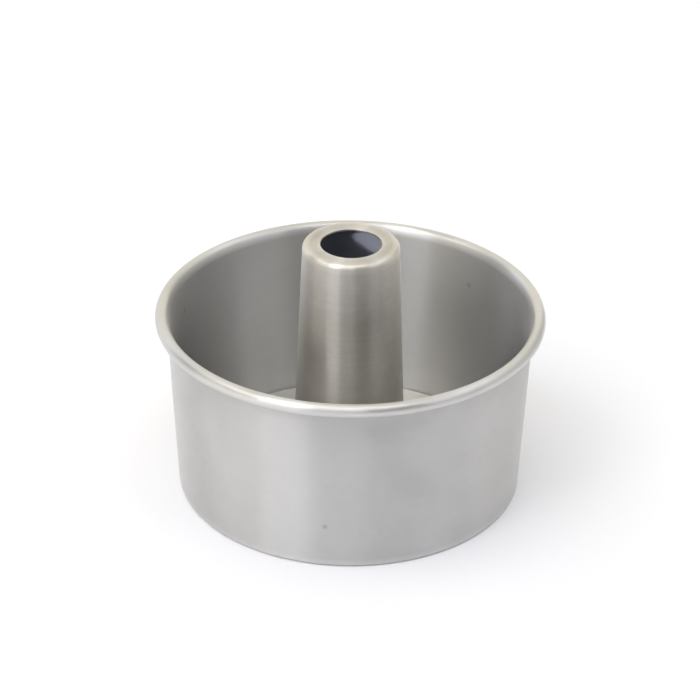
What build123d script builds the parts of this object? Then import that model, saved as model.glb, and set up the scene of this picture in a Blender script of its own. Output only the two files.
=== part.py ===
"""Angel food cake pan with a loose core, in millimetres.

Three pieces of anodised aluminium sheet, all round about the Z axis:
the ring is the outer wall, flared and curled over at the rim, and turned in at the base to make a ledge;
the base plate is a flat disc that lies loose on that ledge;
the centre tube stands in the plate's hole, with the plate nipped between its step and its foot flange.
The plate and the tube lift out of the ring together. The origin is on the table, under the tube.
"""

import os
from math import acos, cos, degrees, radians, sin

from build123d import *

# Ring: wall, rim and ledge
mouth_diameter = 177.8
ring_height = 95.0
ring_sheet = 1.2
wall_taper_degrees = 2.83
rim_flare_radius = 8.0
rim_flare_degrees = 30.0
rim_curl_diameter = 6.24
rim_curl_gap = 0.3
base_bend_radius = 0.6
ledge_width = 9.0

# Base plate
plate_sheet = 1.2
plate_clearance = 0.45

# Centre tube: its side is measured where it would meet the flat top and the plate, without the bends
tube_height = 130.5
tube_sheet = 1.2
tube_top_diameter = 47.3
tube_foot_diameter = 57.2
tube_shoulder_radius = 2.6
tube_mouth_diameter = 30.0
tube_foot_bend_radius = 1.5
neck_diameter = 52.0
neck_clearance = 0.05
foot_flange_width = 3.6
foot_table_gap = 0.2

# Sheared edges are broken to this radius, or to this share of a thinner sheet
edge_break = 0.3
edge_break_most_share = 0.35

# The levels of the stack on the ledge, from the table up
plate_underside = ring_sheet
plate_top = plate_underside + plate_sheet

# The wall leans out by its taper: one unit along it, and one unit square to it
taper = radians(wall_taper_degrees)
up_wall = Vector(sin(taper), cos(taper))
off_wall = Vector(cos(taper), -sin(taper))

# The mouth is measured across the wall's straight inside, carried up to the level of the curl's middle.
# The sheet leaves that straight line by a wide flare, which leads into the tighter curl.
curl_radius = rim_curl_diameter / 2
mouth_edge = Vector(mouth_diameter / 2, ring_height - curl_radius)
wall_to_curl = rim_flare_radius - (rim_flare_radius - curl_radius) * cos(radians(rim_flare_degrees))
curl_centre = mouth_edge + Vector(wall_to_curl / cos(taper), 0)
flare_start = 180 - wall_taper_degrees
flare_end = flare_start - rim_flare_degrees


def about(centre, radius, angle):
    """The point of the section at that radius from the centre, and at that angle, in degrees from level."""
    return centre + Vector(cos(radians(angle)), sin(radians(angle))) * radius


flare_centre = about(curl_centre, curl_radius - rim_flare_radius, flare_end)


def on_wall(height, depth):
    """The point at that height on the wall, depth into its sheet from the inside."""
    near_mouth = mouth_edge + off_wall * depth
    return near_mouth + up_wall * ((height - near_mouth.Y) / cos(taper))


# The flat of the ledge ends where the bend up to the wall begins, and the plate lies on that flat
ledge_flat_radius = on_wall(ring_sheet + base_bend_radius, -base_bend_radius).X
ledge_opening_radius = ledge_flat_radius - ledge_width
plate_radius = ledge_flat_radius - plate_clearance

neck_radius = neck_diameter / 2
plate_hole_radius = neck_radius + neck_clearance


def broken(edges, sheet):
    """Each edge of that sheet, with the radius it is broken to."""
    return [(edge, min(edge_break, edge_break_most_share * sheet)) for edge in edges]


def spun(outline, corners):
    """The solid that the closed outline sweeps out about Z, once each (point, radius) corner is rounded."""
    section = make_face(outline)
    for point, radius in corners:
        corner = section.vertices().sort_by_distance(point)[0]
        section = fillet(corner, radius)
    return revolve(Plane.XZ * section, Axis.Z)


def ring():
    """The wall, its rim flared and curled out and back to itself, and the ledge turned in at its foot."""
    free_edge_share = (rim_curl_gap + ring_sheet - wall_to_curl) / curl_radius
    curl_end = -degrees(acos(free_edge_share)) - wall_taper_degrees
    curl_inside = curl_radius - ring_sheet
    flare_outside = rim_flare_radius - ring_sheet
    base_outside = on_wall(0, ring_sheet)
    ledge_inside = on_wall(ring_sheet, 0)
    ledge_edges = [(ledge_opening_radius, ring_sheet), (ledge_opening_radius, 0)]
    curl_edges = [about(curl_centre, curl_inside, curl_end), about(curl_centre, curl_radius, curl_end)]
    outline = Polyline(
        about(flare_centre, rim_flare_radius, flare_start),
        ledge_inside,
        *ledge_edges,
        base_outside,
        about(flare_centre, flare_outside, flare_start),
    )
    outline += CenterArc(flare_centre, flare_outside, flare_start, -rim_flare_degrees)
    outline += CenterArc(curl_centre, curl_inside, flare_end, curl_end - flare_end)
    outline += Line(*curl_edges)
    outline += CenterArc(curl_centre, curl_radius, curl_end, flare_end - curl_end)
    outline += CenterArc(flare_centre, rim_flare_radius, flare_end, rim_flare_degrees)
    bends = [(ledge_inside, base_bend_radius), (base_outside, base_bend_radius + ring_sheet)]
    return spun(outline, bends + broken(ledge_edges + curl_edges, ring_sheet))


def base_plate():
    """The flat disc on the ledge, with the hole that the tube's neck goes through."""
    outer_edges = [(plate_radius, plate_underside), (plate_radius, plate_top)]
    hole_edges = [(plate_hole_radius, plate_top), (plate_hole_radius, plate_underside)]
    outline = Polyline(*outer_edges, *hole_edges, close=True)
    return spun(outline, broken(outer_edges, plate_sheet))


def centre_tube():
    """The tapered tube, turned in at its top to a flat ring, and at its foot stepped in,
    through the plate's hole and out under it."""
    top_radius = tube_top_diameter / 2
    foot_radius = tube_foot_diameter / 2
    lean_in = (foot_radius - top_radius) / (tube_height - plate_top)

    def side(height, depth):
        """The point at that height on the tube's side, depth into its sheet from the outside."""
        level_depth = depth * (1 + lean_in**2) ** 0.5
        return (foot_radius - lean_in * (height - plate_top) - level_depth, height)

    mouth_radius = tube_mouth_diameter / 2
    bore_radius = neck_radius - tube_sheet
    flange_radius = neck_radius + foot_flange_width
    flange_underside = foot_table_gap
    top_outside = side(tube_height, 0)
    top_inside = side(tube_height - tube_sheet, tube_sheet)
    step_outside = side(plate_top, 0)
    step_inside = side(plate_top + tube_sheet, tube_sheet)
    mouth_edges = [(mouth_radius, tube_height - tube_sheet), (mouth_radius, tube_height)]
    flange_edges = [(flange_radius, plate_underside), (flange_radius, flange_underside)]
    flange_inside = (bore_radius, flange_underside)
    neck_inside = (bore_radius, plate_top + tube_sheet)
    outline = Polyline(
        top_inside,
        *mouth_edges,
        top_outside,
        step_outside,
        (neck_radius, plate_top),
        (neck_radius, plate_underside),
        *flange_edges,
        flange_inside,
        neck_inside,
        step_inside,
        close=True,
    )
    bends = [
        (top_outside, tube_shoulder_radius),
        (top_inside, tube_shoulder_radius - tube_sheet),
        (step_outside, tube_foot_bend_radius),
        (flange_inside, tube_sheet),
    ]
    bends += broken([*mouth_edges, neck_inside, step_inside], tube_sheet)
    bends += broken(flange_edges, plate_underside - flange_underside)
    return spun(outline, bends)


os.makedirs("parts", exist_ok=True)
for name, piece in {"ring": ring(), "base_plate": base_plate(), "centre_tube": centre_tube()}.items():
    export_step(piece, f"parts/{name}.step")
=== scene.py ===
import math

import bpy
import numpy as np
from mathutils import Matrix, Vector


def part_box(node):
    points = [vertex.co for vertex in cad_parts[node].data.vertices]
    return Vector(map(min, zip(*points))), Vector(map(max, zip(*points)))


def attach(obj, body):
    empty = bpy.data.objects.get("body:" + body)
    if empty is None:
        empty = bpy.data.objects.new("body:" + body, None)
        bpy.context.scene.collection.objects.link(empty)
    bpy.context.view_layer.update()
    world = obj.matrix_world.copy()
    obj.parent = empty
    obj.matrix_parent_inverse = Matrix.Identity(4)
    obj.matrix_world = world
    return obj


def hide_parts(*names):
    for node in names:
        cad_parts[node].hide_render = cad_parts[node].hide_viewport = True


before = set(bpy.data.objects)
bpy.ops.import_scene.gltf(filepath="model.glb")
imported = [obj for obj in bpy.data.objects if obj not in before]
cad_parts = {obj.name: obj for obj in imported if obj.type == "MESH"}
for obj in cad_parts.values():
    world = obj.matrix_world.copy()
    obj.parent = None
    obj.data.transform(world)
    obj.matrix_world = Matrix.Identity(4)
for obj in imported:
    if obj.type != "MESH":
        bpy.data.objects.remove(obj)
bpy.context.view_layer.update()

# The ring is the pan's side wall, spun from one sheet of aluminium, etched to a satin and clear anodised.
# Its rim flares and is curled outwards to a hollow bead, and its foot is turned in to a ledge for the base.
ring_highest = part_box("ring")[1]
sheet = 0.0012
wall_taper = math.radians(2.83)
curl_radius = 0.00312
curl_gap = 0.0003
flare_radius = 0.008
flare_turn = math.radians(30)
foot_bend_radius = 0.0006
ledge_width = 0.009
edge_radius = 0.0003

# A mesh follows an arc to within the chord error, and no straight run of it is over the longest step.
# A bend tighter than the rubbed radius is polished in full, and the polish fades over the rubbed blend.
chord_error = 0.000005
longest_step = 0.0028
ring_turn_steps = 480
rubbed_bend_radius = 0.002
rubbed_blend = 0.001


def point(radius, height):
    """One point of a section, as an array of radius and height."""
    return np.array([[radius, height]])


def arc(centre, radius, start, end):
    """Points evenly turned from start to end, in radians: the centre plus the radius along cosine and sine.
    A step is at most twice the angle whose cosine is one minus the chord error over the radius."""
    longest_turn = 2 * math.acos(1 - chord_error / radius)
    angle = np.linspace(start, end, math.ceil(abs(end - start) / longest_turn) + 1)
    return centre + radius * np.stack([np.cos(angle), np.sin(angle)], axis=1)


def bend(before, corner, after, radius):
    """The arc that touches both straight lines that meet at the corner.
    Its centre lies on their bisector, at the radius over the sine of half their angle,
    and it turns the short way from one touching point to the other."""
    towards = [(end - corner)[0] / np.linalg.norm(end - corner) for end in (before, after)]
    half_angle = math.acos(np.dot(*towards)) / 2
    bisector = (towards[0] + towards[1]) / np.linalg.norm(towards[0] + towards[1])
    centre = corner + bisector * radius / math.sin(half_angle)
    spokes = [(corner + way * radius / math.tan(half_angle) - centre)[0] for way in towards]
    start, end = (math.atan2(spoke[1], spoke[0]) for spoke in spokes)
    turn = (end - start + math.pi) % (2 * math.pi) - math.pi
    return arc(centre, radius, start, start + turn)


def divided(outline):
    """The closed outline with its long runs cut evenly, so that no run is over the longest step:
    each new point is its run's start plus a whole share of the run."""
    run = np.roll(outline, -1, axis=0) - outline
    parts = np.maximum(np.ceil(np.linalg.norm(run, axis=1) / longest_step), 1).astype(int)
    count_before = np.repeat(np.cumsum(parts) - parts, parts)
    share = (np.arange(parts.sum()) - count_before) / np.repeat(parts, parts)
    return np.repeat(outline, parts, axis=0) + np.repeat(run, parts, axis=0) * share[:, None]


def still(angle, height):
    """No sway: the piece is as true as it was turned."""
    return np.zeros(np.broadcast_shapes(angle.shape, height.shape))


def nowhere(radius, height):
    """No point of the outline: the piece has one finish all over."""
    return np.zeros(radius.shape, bool)


def turned(name, outline, turn_steps, sway=still, second_finish=nowhere):
    """A closed sheet-metal piece turned about Z: the point at angle a and place s along the outline is
    (r cos a, r sin a, h), where r and h are the outline's radius and height at s, and sway adds to r.
    The UV map holds the angle and the place along the outline, and the attribute rub how sharply it bends,
    from 0 on the flat to 1, averaged over nearby runs by a bell curve, since tools and cloths polish bends.
    Faces that start where second_finish(r, h) is true take the piece's second material."""
    outline = divided(outline)
    count = len(outline)
    angle = np.linspace(0, 2 * np.pi, turn_steps, endpoint=False)[:, None]
    radius = outline[:, 0] + sway(angle, outline[:, 1])
    height = np.broadcast_to(outline[:, 1], radius.shape)
    place = np.stack([radius * np.cos(angle), radius * np.sin(angle), height], axis=-1)
    i, j = np.meshgrid(np.arange(turn_steps), np.arange(count), indexing="ij")
    row, next_row = i * count, (i + 1) % turn_steps * count
    next_j = (j + 1) % count
    corners = np.stack([row + j, next_row + j, next_row + next_j, row + next_j], axis=-1)
    mesh = bpy.data.meshes.new(name)
    mesh.from_pydata(place.reshape(-1, 3), [], corners.reshape(-1, 4))
    mesh.polygons.foreach_set("use_smooth", np.ones(len(mesh.polygons), bool))
    second = second_finish(outline[:, 0], outline[:, 1])
    mesh.polygons.foreach_set("material_index", np.tile(second, turn_steps).astype(np.int32))

    run = np.roll(outline, -1, axis=0) - outline
    run_length = np.linalg.norm(run, axis=1)
    along = np.concatenate([[0], np.cumsum(run_length)]) / run_length.sum()
    around = np.stack([i, i + 1, i + 1, i], axis=-1) / turn_steps
    across = np.stack([along[j], along[j], along[j + 1], along[j + 1]], axis=-1)
    mesh.uv_layers.new(name="UVMap").uv.foreach_set("vector", np.stack([around, across], axis=-1).ravel())

    heading = np.arctan2(run[:, 1], run[:, 0])
    turning = np.abs((heading - np.roll(heading, 1) + np.pi) % (2 * np.pi) - np.pi)
    reach = (run_length + np.roll(run_length, 1)) / 2
    sharpness = np.clip(turning / reach * rubbed_bend_radius, 0, 1)
    apart = (along[:-1, None] - along[None, :-1]) * run_length.sum()
    weight = np.exp(-0.5 * (apart / rubbed_blend) ** 2) * reach
    rubbed = weight @ sharpness / weight.sum(axis=1)
    rub = mesh.attributes.new("rub", "FLOAT", "POINT")
    rub.data.foreach_set("value", np.tile(rubbed, turn_steps).astype(np.float32))
    mesh.update()
    piece = bpy.data.objects.new(name, mesh)
    bpy.context.scene.collection.objects.link(piece)
    return piece


up_wall = np.array([math.sin(wall_taper), math.cos(wall_taper)])
off_wall = np.array([math.cos(wall_taper), -math.sin(wall_taper)])
flare_start = math.pi - wall_taper
flare_end = flare_start - flare_turn
flare_way = np.array([math.cos(flare_end), math.sin(flare_end)])
curl_centre = np.array([ring_highest.x - curl_radius, ring_highest.z - curl_radius])
flare_centre = curl_centre - flare_way * (flare_radius - curl_radius)
wall_top = flare_centre - off_wall * flare_radius
wall_to_curl = np.dot(curl_centre - wall_top, off_wall)
curl_end = -math.acos((curl_gap + sheet - wall_to_curl) / curl_radius) - wall_taper


def on_wall(height, depth):
    """The point at that height on the wall, depth into its sheet from the inside."""
    level_with_top = wall_top + off_wall * depth
    return (level_with_top + up_wall * (height - level_with_top[1]) / up_wall[1])[None, :]


flare_inside = arc(flare_centre, flare_radius, flare_end, flare_start)
flare_outside = arc(flare_centre, flare_radius - sheet, flare_start, flare_end)
ledge_radius = on_wall(sheet + foot_bend_radius, -foot_bend_radius)[0, 0] - ledge_width
ledge_top = point(ledge_radius, sheet)
ledge_underside = point(ledge_radius, 0)
foot_inside = on_wall(sheet, 0)
foot_outside = on_wall(0, sheet)
ring_outline = np.concatenate([
    arc(curl_centre, curl_radius, curl_end, flare_end),
    flare_inside[1:],
    bend(flare_inside[-1:], foot_inside, ledge_top, foot_bend_radius),
    bend(foot_inside, ledge_top, ledge_underside, edge_radius),
    bend(ledge_top, ledge_underside, foot_outside, edge_radius),
    bend(ledge_underside, foot_outside, flare_outside[:1], foot_bend_radius + sheet),
    flare_outside[:-1],
    arc(curl_centre, curl_radius - sheet, flare_end, curl_end),
])


def swaying(waves, lowest, highest):
    """The slight unroundness of a wall, in metres: waves round the pan, each given as its count, its depth,
    the angle where it starts and its twist per metre of height, are added up and multiplied by half a sine
    from the lowest height to the highest, because the bends at both ends hold the wall true."""
    def sway(angle, height):
        held = np.sin(np.pi * np.clip((height - lowest) / (highest - lowest), 0, 1))
        return held * sum(
            depth * np.cos(count * angle + start + twist * height) for count, depth, start, twist in waves
        )
    return sway


wall_waves = [(2, 0.00010, 0.6, 0), (3, 0.00006, 2.1, 9), (7, 0.00003, 4.0, -40)]
wall_sway = swaying(wall_waves, lowest=0.003, highest=0.087)
ring = turned("pan_ring", ring_outline, ring_turn_steps, wall_sway)
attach(ring, "ring")
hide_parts("ring")


def linear(hex_colour):
    """An sRGB hex colour as linear red, green, blue and alpha."""
    parts = [int(hex_colour[i:i + 2], 16) / 255 for i in (1, 3, 5)]
    return [p / 12.92 if p <= 0.04045 else ((p + 0.055) / 1.055) ** 2.4 for p in parts] + [1.0]


def add_node(tree, kind, settings, inputs):
    """A new node of that kind: settings are set on it, and inputs are numbers, or outputs to link from.
    Inputs go by name, or by number on a node that gives several of them one name."""
    node = tree.nodes.new(kind)
    for name, value in settings.items():
        setattr(node, name, value)
    for name, value in inputs.items():
        if isinstance(value, bpy.types.NodeSocket):
            tree.links.new(value, node.inputs[name])
        else:
            node.inputs[name].default_value = value
    return node


# The finish's patterns, in metres. The real grain of the etch and the real rings from turning are finer:
# both are drawn coarser, so that they show in a picture of the whole pan.
cloud_size = 0.034
mottle_size = 0.0035
grain_size = 0.0004
grain_depth = 0.000005
turning_depth = 0.00002

# A Mix node's sockets for numbers, vectors and colours share their names, so its colours go by number
first_colour = 6
second_colour = 7
mixed_colour = 2


def satin_anodised_aluminium(name, pale, deep, polished, roughness, polish, turning_pitch,
                             marks=(), metallic=1.0, drawn_out=1.0):
    """Clear anodised aluminium, spun and then etched to a satin. Its fine rings smear what it mirrors
    across themselves, so a wall shows soft upright bands. The eye also sees slow clouds from the etch,
    single rings from turning, and a cleaner, lighter shine on bends, where polish is taken off the
    roughness. Each mark is a place, a radius and a colour.
    A duller surface is less metallic, and what it mirrors is less drawn out."""
    material = bpy.data.materials.new(name)
    material.use_nodes = True
    tree = material.node_tree
    shader = tree.nodes["Principled BSDF"]
    shader.inputs["Metallic"].default_value = metallic
    shader.inputs["Anisotropic"].default_value = drawn_out
    shader.inputs["Anisotropic Rotation"].default_value = 0.25
    around = add_node(tree, "ShaderNodeTangent", {"direction_type": "UV_MAP", "uv_map": "UVMap"}, {})
    tree.links.new(around.outputs["Tangent"], shader.inputs["Tangent"])
    place = add_node(tree, "ShaderNodeTexCoord", {}, {}).outputs["Object"]

    # Clouds and mottle vary through space, and the rings only with the distance from the axis and the height
    clouds = add_node(tree, "ShaderNodeTexNoise", {}, {
        "Vector": place, "Scale": 1 / cloud_size, "Detail": 4.0, "Roughness": 0.6}).outputs["Fac"]
    mottle = add_node(tree, "ShaderNodeTexNoise", {}, {
        "Vector": place, "Scale": 1 / mottle_size, "Detail": 3.0, "Roughness": 0.65}).outputs["Fac"]
    shade = add_node(tree, "ShaderNodeMath", {"operation": "MULTIPLY_ADD"}, {
        0: mottle, 1: 0.4, 2: clouds}).outputs["Value"]
    split = add_node(tree, "ShaderNodeSeparateXYZ", {}, {"Vector": place})
    level = add_node(tree, "ShaderNodeCombineXYZ", {}, {"X": split.outputs["X"], "Y": split.outputs["Y"]})
    radius = add_node(tree, "ShaderNodeVectorMath", {"operation": "LENGTH"}, {0: level.outputs["Vector"]})
    section = add_node(tree, "ShaderNodeCombineXYZ", {}, {
        "X": radius.outputs["Value"], "Z": split.outputs["Z"]}).outputs["Vector"]
    rings = add_node(tree, "ShaderNodeTexNoise", {}, {
        "Vector": section, "Scale": 1 / turning_pitch, "Detail": 4.0, "Roughness": 0.7}).outputs["Fac"]

    # Colour: from deep to pale by the patterns, then any marks, then the polished colour where it is rubbed
    streaked = add_node(tree, "ShaderNodeMath", {"operation": "MULTIPLY_ADD"}, {
        0: rings, 1: 0.8, 2: shade}).outputs["Value"]
    tone = add_node(tree, "ShaderNodeMapRange", {}, {
        "Value": streaked, "From Min": 0.80, "From Max": 1.40}).outputs["Result"]
    colour = add_node(tree, "ShaderNodeMix", {"data_type": "RGBA"}, {
        "Factor": tone, first_colour: linear(deep), second_colour: linear(pale)}).outputs[mixed_colour]
    for spot, spot_radius, spot_colour in marks:
        away = add_node(tree, "ShaderNodeVectorMath", {"operation": "DISTANCE"}, {
            0: place, 1: spot}).outputs["Value"]
        stain = add_node(tree, "ShaderNodeMapRange", {"interpolation_type": "SMOOTHSTEP"}, {
            "Value": away, "From Min": spot_radius, "From Max": 0.2 * spot_radius,
            "To Max": 0.3}).outputs["Result"]
        colour = add_node(tree, "ShaderNodeMix", {"data_type": "RGBA"}, {
            "Factor": stain, first_colour: colour, second_colour: linear(spot_colour)}).outputs[mixed_colour]
    rub = add_node(tree, "ShaderNodeAttribute", {"attribute_name": "rub"}, {}).outputs["Fac"]
    rubbed = add_node(tree, "ShaderNodeMix", {"data_type": "RGBA"}, {
        "Factor": rub, first_colour: colour, second_colour: linear(polished)}).outputs[mixed_colour]
    tree.links.new(rubbed, shader.inputs["Base Color"])

    # Roughness: a little less where the clouds are pale and where it is rubbed, a little more on the rings
    cloudy = add_node(tree, "ShaderNodeMapRange", {}, {
        "Value": shade, "From Min": 0.45, "From Max": 0.95,
        "To Min": roughness + 0.035, "To Max": roughness - 0.035}).outputs["Result"]
    worn = add_node(tree, "ShaderNodeMath", {"operation": "MULTIPLY_ADD"}, {
        0: rub, 1: -polish, 2: cloudy}).outputs["Value"]
    ringed = add_node(tree, "ShaderNodeMath", {"operation": "MULTIPLY_ADD"}, {
        0: rings, 1: 0.06, 2: worn}).outputs["Value"]
    tree.links.new(ringed, shader.inputs["Roughness"])

    # Relief: the rings and the etch's grain, both nearly gone where it is rubbed
    unpolished = add_node(tree, "ShaderNodeMapRange", {}, {
        "Value": rub, "From Max": 0.4, "To Min": 0.6, "To Max": 0.1}).outputs["Result"]
    ridged = add_node(tree, "ShaderNodeBump", {}, {
        "Height": rings, "Distance": turning_depth, "Strength": unpolished}).outputs["Normal"]
    grain = add_node(tree, "ShaderNodeTexNoise", {}, {
        "Vector": place, "Scale": 1 / grain_size, "Detail": 2.0}).outputs["Fac"]
    grained = add_node(tree, "ShaderNodeBump", {}, {
        "Height": grain, "Distance": grain_depth, "Strength": unpolished,
        "Normal": ridged}).outputs["Normal"]
    tree.links.new(grained, shader.inputs["Normal"])
    return material


# The anodising has been touched in three small places, and is a darker grey there:
# two of them are inside the wall, and one is outside, low in front.
speck_radius = 0.0020
speck_colour = "#5F646B"


def speck(bearing, height, depth):
    """A mark on the wall, at that bearing in degrees, height, and depth into its sheet from the inside."""
    radius, level = on_wall(height, depth)[0]
    place = (radius * math.cos(math.radians(bearing)), radius * math.sin(math.radians(bearing)), level)
    return (place, speck_radius, speck_colour)


specks = [speck(161.0, 0.0760, 0), speck(46.4, 0.0737, 0), speck(-97.3, 0.0232, sheet)]
ring.data.materials.append(satin_anodised_aluminium(
    "satin_anodised_wall", pale="#D1D0D0", deep="#CCCBCA", polished="#DCDBD8",
    roughness=0.365, polish=0.13, turning_pitch=0.0011, marks=specks))

# The base plate is a flat disc blanked from the same sheet, with its edges broken.
# It lies loose on the ring's ledge, and the tube's foot is swaged into the hole at its centre.
plate_lowest, plate_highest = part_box("base_plate")
plate_hole_radius = 0.02605
plate_turn_steps = 480
plate_corners = [
    point(plate_highest.x, plate_lowest.z),
    point(plate_highest.x, plate_highest.z),
    point(plate_hole_radius, plate_highest.z),
    point(plate_hole_radius, plate_lowest.z),
]
plate_outline = np.concatenate([
    bend(plate_corners[3], plate_corners[0], plate_corners[1], edge_radius),
    bend(plate_corners[0], plate_corners[1], plate_corners[2], edge_radius),
    *plate_corners[2:],
])
plate = turned("pan_base_plate", plate_outline, plate_turn_steps)
# The plate was blanked and etched flat, so it is a little rougher and warmer than the spun wall.
plate.data.materials.append(satin_anodised_aluminium(
    "satin_anodised_plate", pale="#D8D6CD", deep="#CFCDC3", polished="#DEDCD5",
    roughness=0.40, polish=0.06, turning_pitch=0.0009))
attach(plate, "core")
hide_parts("base_plate")

# The centre tube is drawn from the same sheet and spun to a taper, and its top is turned in to a flat ring
# round the mouth. Its foot is stepped in through the plate's hole and rolled out beneath, which nips the
# plate for good.
tube_lowest, tube_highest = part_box("centre_tube")
tube_top_radius = 0.02365
tube_foot_radius = 0.0286
tube_shoulder_radius = 0.0026
tube_mouth_radius = 0.015
tube_foot_bend_radius = 0.0015
neck_radius = 0.026
tube_turn_steps = 360
tube_lean = (tube_foot_radius - tube_top_radius) / (tube_highest.z - plate_highest.z)


def on_tube(height, depth):
    """The point at that height on the tube's side, depth into its sheet from the outside."""
    level_depth = depth * math.hypot(1, tube_lean)
    return point(tube_foot_radius - tube_lean * (height - plate_highest.z) - level_depth, height)


top_outside = on_tube(tube_highest.z, 0)
top_inside = on_tube(tube_highest.z - sheet, sheet)
mouth_above = point(tube_mouth_radius, tube_highest.z)
mouth_below = point(tube_mouth_radius, tube_highest.z - sheet)
step_outside = on_tube(plate_highest.z, 0)
step_inside = on_tube(plate_highest.z + sheet, sheet)
neck_above = point(neck_radius, plate_highest.z)
neck_below = point(neck_radius, plate_lowest.z)
flange_above = point(tube_highest.x, plate_lowest.z)
flange_below = point(tube_highest.x, tube_lowest.z)
bore_below = point(neck_radius - sheet, tube_lowest.z)
bore_above = point(neck_radius - sheet, plate_highest.z + sheet)
tube_outline = np.concatenate([
    bend(step_outside, top_outside, mouth_above, tube_shoulder_radius),
    bend(top_outside, mouth_above, mouth_below, edge_radius),
    bend(mouth_above, mouth_below, top_inside, edge_radius),
    bend(mouth_below, top_inside, step_inside, tube_shoulder_radius - sheet),
    bend(top_inside, step_inside, bore_above, edge_radius),
    bend(step_inside, bore_above, bore_below, edge_radius),
    bend(bore_above, bore_below, flange_below, sheet),
    bend(bore_below, flange_below, flange_above, edge_radius),
    bend(flange_below, flange_above, neck_below, edge_radius),
    neck_below,
    neck_above,
    bend(neck_above, step_outside, top_outside, tube_foot_bend_radius),
])


def inside_tube(radius, height):
    """Whether a point of the outline is on the tube's inner side: it is, above the plate's underside, where
    it lies nearer than the middle of the sheet to the line that the shoulder's centre draws, level with the
    top and down the side."""
    side_radius = tube_foot_radius - tube_lean * (height - plate_highest.z)
    outwards = np.maximum(radius - side_radius + tube_shoulder_radius, 0)
    upwards = np.maximum(height - tube_highest.z + tube_shoulder_radius, 0)
    nearer = np.hypot(outwards, upwards) < tube_shoulder_radius - sheet / 2
    return nearer & (height > plate_lowest.z)


tube_waves = [(2, 0.00004, 1.0, 0), (3, 0.00003, 0.4, 30)]
tube_sway = swaying(tube_waves, lowest=0.006, highest=0.124)
tube = turned("pan_centre_tube", tube_outline, tube_turn_steps, tube_sway, inside_tube)
# The tube's satin is a little warmer than the wall's, and its clouds and turning rings stand out more.
tube.data.materials.append(satin_anodised_aluminium(
    "satin_anodised_tube", pale="#D8D5D0", deep="#C6C2BB", polished="#E4E0D6",
    roughness=0.365, polish=0.12, turning_pitch=0.0013))
# The bore is a dull, darker blue-grey: its darker tone is painted shade for the tube's dim inside, and it is
# less metallic so that the mouth lamp lights it.
tube.data.materials.append(satin_anodised_aluminium(
    "dull_bore_painted_shade", pale="#888B97", deep="#7E818D", polished="#888B97",
    roughness=0.50, polish=0.03, turning_pitch=0.0020, metallic=0.4, drawn_out=0.0))
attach(tube, "core")
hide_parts("centre_tube")

# The studio: a pale floor, white surroundings, and large soft panels and grey cards for the metal to mirror.
# The floor lies a hair under the pan's foot, so that the two faces don't coincide.
floor_half_width = 3.0
floor_level = -0.00005
paper_cloud_size = 0.08
floor_mesh = bpy.data.meshes.new("studio_floor")
floor_mesh.from_pydata([
    (-floor_half_width, -floor_half_width, floor_level),
    (floor_half_width, -floor_half_width, floor_level),
    (floor_half_width, floor_half_width, floor_level),
    (-floor_half_width, floor_half_width, floor_level),
], [], [(0, 1, 2, 3)])
floor = bpy.data.objects.new("studio_floor", floor_mesh)
bpy.context.scene.collection.objects.link(floor)


def matt_paper(name, colour):
    """Matt paper: it scatters evenly, and a faint mottle keeps it from being one flat tone."""
    material = bpy.data.materials.new(name)
    material.use_nodes = True
    tree = material.node_tree
    shader = tree.nodes["Principled BSDF"]
    shader.inputs["Roughness"].default_value = 1.0
    shader.inputs["Specular IOR Level"].default_value = 0.0
    place = add_node(tree, "ShaderNodeTexCoord", {}, {}).outputs["Object"]
    pulp = add_node(tree, "ShaderNodeTexNoise", {}, {
        "Vector": place, "Scale": 1 / paper_cloud_size, "Detail": 3.0}).outputs["Fac"]
    duller = [0.985 * part for part in linear(colour)]
    tone = add_node(tree, "ShaderNodeMix", {"data_type": "RGBA"}, {
        "Factor": pulp, first_colour: linear(colour), second_colour: duller}).outputs[mixed_colour]
    tree.links.new(tone, shader.inputs["Base Color"])
    return material


floor_mesh.materials.append(matt_paper("matt_white_paper", "#FAFAFD"))

world = bpy.data.worlds.new("white_studio")
bpy.context.scene.world = world
world.use_nodes = True
world.node_tree.nodes["Background"].inputs["Color"].default_value = linear("#FFFFFF")
world.node_tree.nodes["Background"].inputs["Strength"].default_value = 1.0

# The panels lie on a ball round the pan. The panel step is how wide their faces are, in degrees, or nearly.
studio_middle = np.array([0, 0, 0.06])
studio_radius = 1.7
panel_step = 10


def studio_panel(name, azimuths, elevations, level, colour):
    """A panel of the studio's round wall and roof, out of the camera's sight. The point at azimuth a and
    elevation e is the pan's middle plus the studio's radius along (cos e cos a, cos e sin a, sin e).
    It glows evenly: at level 1 it is as bright as the white studio, and below that it is a grey card."""
    azimuth, elevation = np.meshgrid(
        np.radians(np.linspace(*azimuths, round((azimuths[1] - azimuths[0]) / panel_step) + 1)),
        np.radians(np.linspace(*elevations, round((elevations[1] - elevations[0]) / panel_step) + 1)),
        indexing="ij",
    )
    way = np.stack([
        np.cos(elevation) * np.cos(azimuth),
        np.cos(elevation) * np.sin(azimuth),
        np.sin(elevation),
    ], axis=-1)
    place = (studio_middle + studio_radius * way).reshape(-1, 3)
    rows, columns = azimuth.shape
    i, j = np.meshgrid(np.arange(rows - 1), np.arange(columns - 1), indexing="ij")
    first = i * columns + j
    corners = np.stack([first, first + 1, first + columns + 1, first + columns], axis=-1).reshape(-1, 4)
    mesh = bpy.data.meshes.new(name)
    mesh.from_pydata(place, [], corners)
    panel = bpy.data.objects.new(name, mesh)
    panel.visible_camera = False
    bpy.context.scene.collection.objects.link(panel)
    material = bpy.data.materials.new(f"glowing_{name}")
    material.use_nodes = True
    tree = material.node_tree
    tree.nodes.clear()
    glow = add_node(tree, "ShaderNodeEmission", {}, {"Color": linear(colour), "Strength": level})
    add_node(tree, "ShaderNodeOutputMaterial", {}, {"Surface": glow.outputs["Emission"]})
    mesh.materials.append(material)


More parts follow.
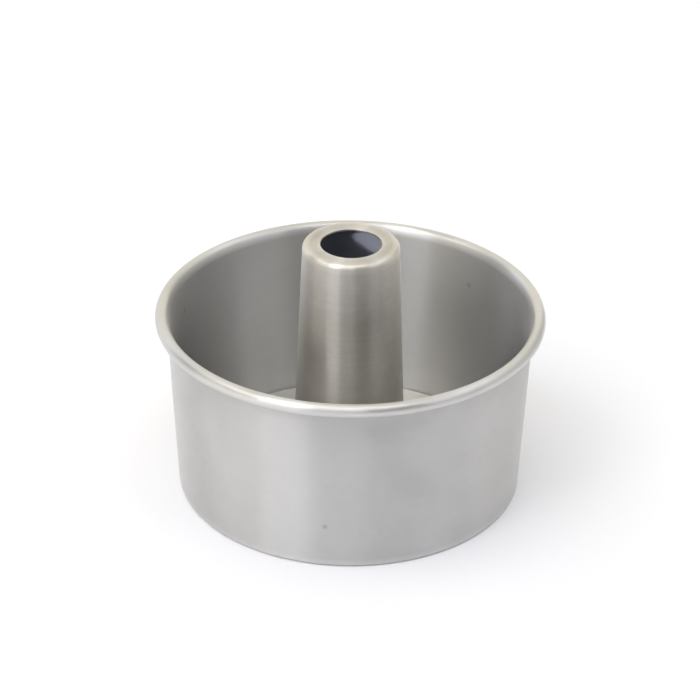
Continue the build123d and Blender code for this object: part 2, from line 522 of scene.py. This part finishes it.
# Each panel's range of azimuths and of elevations in degrees, its level and its colour
studio_panel("key_softbox", (-141, -116), (34, 60), 3.0, "#FFFFFF")
studio_panel("low_key_softbox", (-141, -116), (16, 34), 2.4, "#FFFFFF")
studio_panel("left_softbox", (-195, -141), (36, 60), 2.2, "#FFFCF6")
studio_panel("low_left_softbox", (-180, -138), (0, 14), 1.7, "#FFFCF6")
studio_panel("high_front_softbox", (-180, -30), (60, 74), 3.5, "#F4F7FF")
studio_panel("high_right_softbox", (-45, 60), (48, 60), 1.5, "#F8FAFF")
studio_panel("top_softbox", (-180, 180), (74, 90), 1.3, "#FFF7E2")
studio_panel("back_softbox", (60, 120), (16, 60), 1.05, "#FFFAEC")
studio_panel("back_left_softbox", (120, 150), (24, 50), 1.25, "#FAFCFF")
studio_panel("high_back_card", (60, 180), (60, 74), 0.35, "#FFF6E0")
studio_panel("low_front_card", (-135, -15), (0, 16), 0.0, "#FFFFFF")
studio_panel("front_card", (-80, -45), (16, 60), 0.3, "#FFFCF4")
studio_panel("right_card", (-15, 60), (0, 32), 0.58, "#FFFDF6")
studio_panel("left_card", (-180, -143), (14, 36), 0.1, "#FFF6E0")
studio_panel("back_left_card", (150, 180), (14, 36), 0.35, "#FFF6E0")

# A snooted lamp, low on the left in front, shines into the tube's mouth. It lights the bore's dull surface,
# whose darker tone is painted shade, and the satin outside doesn't mirror it.
lamp_azimuth = math.radians(-133)
lamp_elevation = math.radians(23)
lamp_distance = 0.5
lamp = bpy.data.objects.new("mouth_lamp", bpy.data.lights.new("mouth_lamp", "SPOT"))
lamp.data.energy = 36.0
lamp.data.spot_size = math.radians(7)
lamp.data.spot_blend = 0.3
lamp.data.shadow_soft_size = 0.045
lamp.visible_glossy = False
lamp.visible_camera = False
bpy.context.scene.collection.objects.link(lamp)
lamp.matrix_world = (
    Matrix.Translation((0, 0, tube_highest.z))
    @ Matrix.Rotation(lamp_azimuth + math.pi / 2, 4, "Z")
    @ Matrix.Rotation(math.pi / 2 - lamp_elevation, 4, "X")
    @ Matrix.Translation((0, 0, lamp_distance))
)

# The camera stands in front of the pan and above it, at the photograph's angle.
# Its roll is the slight tilt that the photograph has.
camera_distance = 1.1679
camera_height = 0.7440
camera_pitch = math.radians(29.954)
camera_roll = math.radians(0.665)
camera = bpy.data.objects.new("camera", bpy.data.cameras.new("camera"))
bpy.context.scene.collection.objects.link(camera)
camera.data.lens = 140.15
camera.data.sensor_width = 36.0
camera.data.clip_start = 0.05
camera.matrix_world = (
    Matrix.Translation((0, -camera_distance, camera_height))
    @ Matrix.Rotation(math.pi / 2 - camera_pitch, 4, "X")
    @ Matrix.Rotation(camera_roll, 4, "Z")
)
bpy.context.scene.camera = camera
bpy.context.scene.view_settings.view_transform = "Standard"
